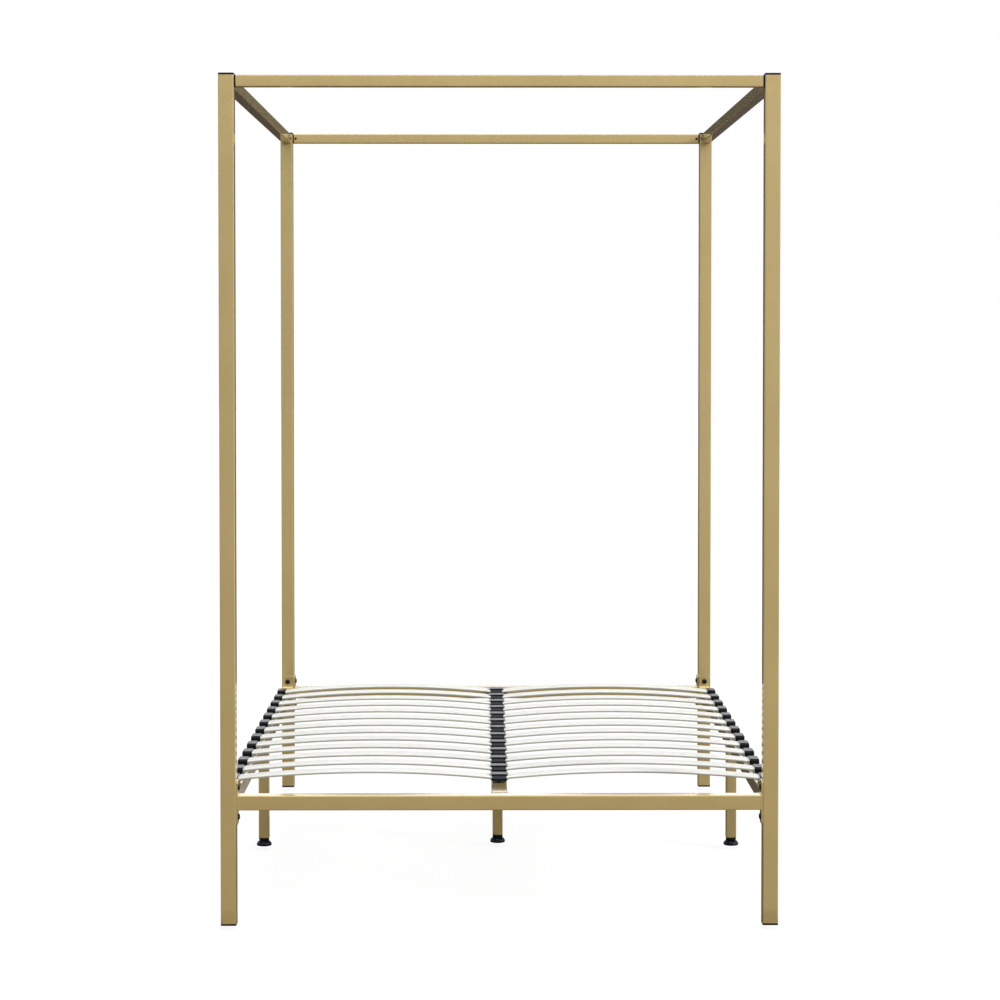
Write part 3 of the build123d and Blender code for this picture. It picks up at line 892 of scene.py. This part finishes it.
# threaded insert: square flange on Z = 0 going down, plug going up, round bore through both
def makeInsert(look, side):
    part = bmesh.new()
    ease = look["ease"]
    plug = look["plugSide"]
    slim = plug - 2 * ease
    rim = side - 2 * ease
    loops = [
        circleLoop(part, look["bore"], look["plugTop"]),
        squareLoop(part, slim, slim, look["plugRadius"], look["plugTop"]),
        squareLoop(part, plug, plug, look["plugRadius"], look["plugTop"] - 2 * ease),
        squareLoop(part, plug, plug, look["plugRadius"], 0),
        squareLoop(part, side, side, look["radius"], -0.02 * mm),  # just under the tube's end
        squareLoop(part, side, side, look["radius"], ease - look["flange"]),
        squareLoop(part, rim, rim, look["radius"] - ease, -look["flange"]),
        circleLoop(part, look["bore"], -look["flange"]),
    ]
    bridgeAll(part, loops)
    bmesh.ops.bridge_loops(part, edges=loops[-1] + loops[0])
    tidy(part)
    return part


legBolts = bmesh.new()
inserts = bmesh.new()
insert = makeInsert(insertLook, legLook["side"])
legNodes = {"left": "left_support_leg", "centre": "centre_support_leg", "right": "right_support_leg"}
for side, node in legNodes.items():
    bm = bmesh.new()
    centre, size = boxOf(node)
    top = centre.z + size.z / 2
    bottom = centre.z - size.z / 2
    plateTop = legLook["plateThickness"]
    tube = size.z - plateTop
    addTube(bm, (centre.x, centre.y, bottom + tube / 2), (legLook["side"], legLook["side"], tube), 2, legLook)
    addPlate(bm, (centre.x, centre.y, top - plateTop / 2), (size.x, size.y, plateTop), 2,
             legLook["plateRadius"], legLook["plateEase"])
    bead = makeBead(legLook, legLook["side"], legLook["side"], (1, 1))
    addCopy(bm, bead, facing((centre.x, centre.y, top - plateTop), (0, 0, -1)))
    bead.free()
    finishPiece(bm, node + "_welded", powderCoat, [node])
    addCopy(inserts, insert, Matrix.Translation((centre.x, centre.y, bottom)))
    for offset in (-legLook["boltOffset"], legLook["boltOffset"]):
        place = (centre.x, centre.y + offset, top - plateTop)
        addCopy(legBolts, smallBolt, facing(place, (0, 0, -1), random.uniform(0, 1)))
finishPiece(legBolts, "leg_bolt_set", blackZinc, ["leg_bolts"])
finishPiece(inserts, "leg_insert_set", blackNylon, ["leg_inserts"])
insert.free()
for bolt in (railBolt, smallBolt, canopyScrew):
    bolt.free()
print("support legs made")

footLook = {
    # radius and height in mm: sole, rounded rim, slope up to the collar, bore and the hollow for the disc
    "padProfile": [(0, 0), (16, 0), (16.5, 0.6), (19.6, 0.6), (20.3, 0), (21.2, 0.4), (21.8, 1.4),
                   (22, 2.8), (22, 4.8), (21.6, 6.6), (20.8, 8.4), (19.7, 10.2), (18.2, 11.8), (16.4, 13.1),
                   (15.2, 13.7), (14.6, 14), (4.3, 14), (4.3, 8.3), (8.3, 8.3), (8.3, 4.7), (0, 4.7)],
    "padSteps": 48,
    # disc, neck and grip collar
    "stemProfile": [(0, 5), (8, 5), (8, 8), (4, 8), (4, 14.3), (13.8, 14.3), (14.6, 14.7), (15, 15.5),
                    (15, 20.5), (14.6, 21.3), (13.8, 21.7), (4.2, 21.7), (0, 21.7)],
    "gripCount": 24,
    "gripDepth": 0.7,
    "gripFrom": 13,  # the notches are cut outside this radius
    "threadMinor": 4.15,
    "threadMajor": 4.95,
    "threadPitch": 1.5,
    "threadFrom": 21.0,
    "threadTo": 58.0,
    "threadSteps": 20,
}


def inMetres(points):
    return [(radius * mm, height * mm) for radius, height in points]


def makePad(look):
    part = bmesh.new()
    addTurned(part, inMetres(look["padProfile"]), look["padSteps"])
    tidy(part)
    return part


# threaded rod: one tooth carried up a helix, then cut level at both ends and closed
def addThread(bm, look):
    part = bmesh.new()
    minor = look["threadMinor"] * mm
    major = look["threadMajor"] * mm
    pitch = look["threadPitch"] * mm
    low = look["threadFrom"] * mm
    high = look["threadTo"] * mm
    tooth = [(minor, 0), (major, 0.42 * pitch), (major, 0.54 * pitch), (minor, 0.96 * pitch), (minor, pitch)]
    verts = [part.verts.new((radius, 0, low - pitch + height)) for radius, height in tooth]
    edges = [part.edges.new(pair) for pair in zip(verts, verts[1:])]
    turns = math.ceil((high - low) / pitch) + 2
    steps = look["threadSteps"]
    bmesh.ops.spin(part, geom=verts + edges, cent=(0, 0, 0), axis=(0, 0, 1), dvec=(0, 0, pitch / steps),
                   angle=2 * math.pi * turns, steps=steps * turns, use_merge=False)
    bmesh.ops.remove_doubles(part, verts=part.verts, dist=0.01 * mm)
    for height, above in ((low, -1), (high, 1)):
        bmesh.ops.bisect_plane(part, geom=part.verts[:] + part.edges[:] + part.faces[:], dist=1e-7,
                               plane_co=(0, 0, height), plane_no=(0, 0, above), clear_outer=True)
    bmesh.ops.holes_fill(part, edges=part.edges, sides=0)
    bmesh.ops.recalc_face_normals(part, faces=part.faces)
    addCopy(bm, part)
    part.free()


def makeStem(look):
    part = bmesh.new()
    steps = look["gripCount"] * 4
    addTurned(part, inMetres(look["stemProfile"]), steps)
    tidy(part)
    grip = look["gripDepth"] * mm
    for vert in part.verts:
        reach = Vector((vert.co.x, vert.co.y, 0))
        if reach.length > look["gripFrom"] * mm:
            angle = math.atan2(vert.co.y, vert.co.x)
            vert.co -= reach.normalized() * grip * (0.5 - 0.5 * math.cos(angle * look["gripCount"]))
    addThread(part, look)
    return part


pad = makePad(footLook)
stem = makeStem(footLook)
for side in legNodes:
    centre = boxOf(side + "_foot_pad")[0]
    for name, template in (("pad", pad), ("stem", stem)):
        bm = bmesh.new()
        addCopy(bm, template, Matrix.Translation((centre.x, centre.y, 0)))
        body = f"{side}_{name}"
        finishPiece(bm, body + "_moulding", blackNylon, [f"{side}_foot_{name}"], body)
pad.free()
stem.free()
print("levelling feet made")


# slats

boardLook = {
    "width": 50 * mm,
    "thickness": 8 * mm,
    "edgeRadius": 3.5 * mm,
    "edgeSegments": 6,
    "bow": 19 * mm,
    "innerX": 9 * mm,
    "outerX": 708 * mm,
    "innerZ": 343.5 * mm,
    "outerZ": 340 * mm,
    "arcSteps": 28,
}


# one bowed board of the right-hand column, its section carried round a large arc, centred on Y = 0
def makeBoard(look):
    part = bmesh.new()
    depth = part.verts.layers.float.new("plyDepth")
    half = (look["outerX"] - look["innerX"]) / 2
    radius = (half ** 2 + look["bow"] ** 2) / (2 * look["bow"])
    reach = math.asin(half / radius)
    verts = bmesh.ops.create_grid(part, x_segments=1, y_segments=1, size=0.5)["verts"]
    bmesh.ops.scale(part, vec=(look["thickness"], look["width"], 1), verts=verts)
    bmesh.ops.bevel(part, geom=verts, offset=look["edgeRadius"], offset_type="OFFSET", affect="VERTICES",
                    segments=look["edgeSegments"], profile=0.5, material=-1)
    for vert in part.verts:
        vert[depth] = vert.co.x / look["thickness"] + 0.5
    # the section stands on end at the left of the arc, its thickness pointing away from the arc's centre
    bmesh.ops.rotate(part, cent=(0, 0, 0), matrix=Matrix.Rotation(-math.pi / 2, 3, "Y"), verts=part.verts)
    bmesh.ops.translate(part, vec=(0, 0, radius + look["thickness"] / 2), verts=part.verts)
    bmesh.ops.rotate(part, cent=(0, 0, 0), matrix=Matrix.Rotation(-reach, 3, "Y"), verts=part.verts)
    bmesh.ops.spin(part, geom=part.verts[:] + part.edges[:] + part.faces[:], cent=(0, 0, 0), axis=(0, 1, 0),
                   dvec=(0, 0, 0), angle=2 * reach, steps=look["arcSteps"], use_merge=False)
    tidy(part)
    bmesh.ops.translate(part, vec=(0, 0, look["bow"] - radius), verts=part.verts)
    lean = math.atan2(look["innerZ"] - look["outerZ"], 2 * half)
    bmesh.ops.rotate(part, cent=(0, 0, 0), matrix=Matrix.Rotation(lean, 3, "Y"), verts=part.verts)
    middle = Vector((look["innerX"] + look["outerX"], 0, look["innerZ"] + look["outerZ"])) / 2
    bmesh.ops.translate(part, vec=middle, verts=part.verts)
    return part


board = makeBoard(boardLook)
mirrored = Matrix.Scale(-1, 4, (1, 0, 0))
rowPlaces = []
for row in range(1, 14):
    for column in ("left", "right"):
        node = f"slat_{column}_{row:02d}"
        y = boxOf(node)[0].y
        bm = bmesh.new()
        shift = Matrix.Translation((0, y, 0))
        addCopy(bm, board, shift @ mirrored if column == "left" else shift)
        finishPiece(bm, f"board_{column}_{row:02d}", slatWhite, [node])
    rowPlaces.append(y)
board.free()
print("slats made:", 2 * len(rowPlaces))


# slat holders

sideHolderLook = {
    "inner": 687 * mm,
    "outer": 714 * mm,
    "width": 57 * mm,
    "bottom": 335 * mm,
    "top": 353.5 * mm,
    "crown": 6 * mm,
    "endRadius": 4 * mm,
    "mouthRadius": 1 * mm,
    "pocketHalf": 25.3 * mm,
    "pocketEnd": 708.3 * mm,
    "mouth": (341.9 * mm, 350.6 * mm),  # lowest and highest edge of the slot at its mouth
    "slope": 0.105,
}
centreHolderLook = {
    "half": 24 * mm,
    "waist": 17.5 * mm,
    "tip": 3 * mm,
    "width": 59 * mm,
    "bottom": 341 * mm,
    "top": 357.5 * mm,
    "shoulder": (22 * mm, 347.5 * mm),  # how far out the top reaches, and where its slope meets the front
    "crown": 6 * mm,
    "lipHalf": 20.5 * mm,
    "lip": 2.9 * mm,
    "lipProud": 0.1 * mm,
    "lipRadius": 2 * mm,
    "pocketHalf": 25.3 * mm,
    "pocketEnd": 8.7 * mm,
    "mouth": (344.9 * mm, 353.5 * mm),
    "slope": 0.108,
    "pegSpacing": 28 * mm,
    "pegRadius": 4 * mm,
    "pegDepth": 10 * mm,
    "pegPoint": 1 * mm,
    "pegFlange": 7 * mm,
    "pegFlangeHeight": 1.5 * mm,
    "pegEase": 0.3 * mm,
    "beamTop": 335 * mm,
}


def cutAt(bm, point, normal, clear=False):
    bmesh.ops.bisect_plane(bm, geom=bm.verts[:] + bm.edges[:] + bm.faces[:], dist=1e-7,
                           plane_co=point, plane_no=normal, clear_outer=clear)


# slot for a slat's end, pushed into the wall that faces +X or -X
def pushPocket(bm, sign, mouthX, endX, look):
    low, high = look["mouth"]
    for y in (-look["pocketHalf"], look["pocketHalf"]):
        cutAt(bm, (0, y, 0), (0, 1, 0))
    for z in (low, high):
        cutAt(bm, (0, 0, z), (0, 0, 1))
    mouth = []
    for face in facesTowards(bm, 0, sign):
        middle = face.calc_center_median()
        inside = abs(middle.y) < look["pocketHalf"] and low < middle.z < high
        if inside and abs(middle.x - mouthX) < 0.01 * mm:
            mouth.append(face)
    depth = abs(mouthX - endX)
    pushFaces(bm, mouth, (-sign * depth, 0, -depth * look["slope"]))


# two pegs that go down into the beam, each with a flange that rests on it
def addPegs(bm, look, top):
    radius = look["pegRadius"]
    base = look["beamTop"]
    point = base - look["pegDepth"]
    flange = look["pegFlange"]
    flangeTop = base + look["pegFlangeHeight"]
    ease = look["pegEase"]
    peg = bmesh.new()
    profile = [(0, point), (radius - look["pegPoint"], point), (radius, point + look["pegPoint"]),
               (radius, base), (flange, base), (flange, flangeTop - ease), (flange - ease, flangeTop),
               (radius, flangeTop), (radius, top), (0, top)]
    addTurned(peg, profile, 24)
    tidy(peg)
    for y in (-look["pegSpacing"] / 2, look["pegSpacing"] / 2):
        addCopy(bm, peg, Matrix.Translation((0, y, 0)))
    peg.free()


# closed cap over a slat's outer end, open towards the middle of the bed
def makeSideHolder(look):
    part = bmesh.new()
    length = look["outer"] - look["inner"]
    height = look["top"] - look["bottom"]
    middle = Vector((look["outer"] + look["inner"], 0, look["top"] + look["bottom"])) / 2
    addBlock(part, middle, (length, look["width"], height))
    crest = [edge for edge in edgesAlong(part, 0) if edge.verts[0].co.z > middle.z]
    roundOff(part, crest, look["crown"], 6)
    for sign, radius in ((-1, look["mouthRadius"]), (1, look["endRadius"])):
        wall = facesTowards(part, 0, sign)[0]
        foot = look["bottom"] + 0.1 * mm
        rim = [edge for edge in wall.edges if max(vert.co.z for vert in edge.verts) > foot]
        roundOff(part, rim, radius, 4)
    pushPocket(part, -1, look["inner"], look["pocketEnd"], look)
    tidy(part)
    return part


# double cap over the inner ends of two slats: arched top, jaws pointed to left and right, lip underneath
def makeCentreHolder(look):
    part = bmesh.new()
    half = look["half"]
    edge = look["width"] / 2
    middle = (0, 0, (look["top"] + look["bottom"]) / 2)
    addBlock(part, middle, (2 * half, look["width"], look["top"] - look["bottom"]))
    shoulder, shoulderBottom = look["shoulder"]
    for sign in (-1, 1):
        normal = Vector((0, sign * (look["top"] - shoulderBottom), edge - shoulder))
        cutAt(part, (0, sign * edge, shoulderBottom), normal, True)
        bmesh.ops.holes_fill(part, edges=part.edges, sides=0)
    crest = [line for line in edgesAlong(part, 0) if line.verts[0].co.z > look["top"] - 0.1 * mm]
    roundOff(part, crest, look["crown"], 6)
    for sign in (-1, 1):
        pushPocket(part, sign, sign * half, sign * look["pocketEnd"], look)
    for signX in (-1, 1):
        for signY in (-1, 1):
            normal = Vector((signX * (edge - look["tip"]), signY * (half - look["waist"]), 0))
            cutAt(part, (signX * half, signY * look["tip"], 0), normal, True)
            bmesh.ops.holes_fill(part, edges=part.edges, sides=0)
    tidy(part)
    bmesh.ops.dissolve_limit(part, angle_limit=math.radians(0.5), verts=part.verts, edges=part.edges)
    lip = bmesh.new()
    proud = look["lipProud"]
    addBlock(lip, (0, 0, look["bottom"] + (look["lip"] - proud) / 2),
             (2 * look["lipHalf"], look["width"] + 2 * proud, look["lip"] + proud))
    roundOff(lip, edgesAlong(lip, 2), look["lipRadius"], 4)
    addCopy(part, lip)
    lip.free()
    addPegs(part, look, look["bottom"] + look["pegPoint"])
    return part


sideHolder = makeSideHolder(sideHolderLook)
centreHolder = makeCentreHolder(centreHolderLook)
for name, template, matrix in (("left", sideHolder, mirrored), ("right", sideHolder, Matrix.Identity(4)),
                               ("centre", centreHolder, Matrix.Identity(4))):
    bm = bmesh.new()
    for y in rowPlaces:
        addCopy(bm, template, Matrix.Translation((0, y, 0)) @ matrix)
    finishPiece(bm, name + "_holder_row", blackNylon, [name + "_slat_holders"])
sideHolder.free()
centreHolder.free()
print("slat holders made")


# the one CAD node that stays: nuts inside the tubes

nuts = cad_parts["weld_nuts"]
nuts.data.materials.clear()
nuts.data.materials.append(brightZinc)
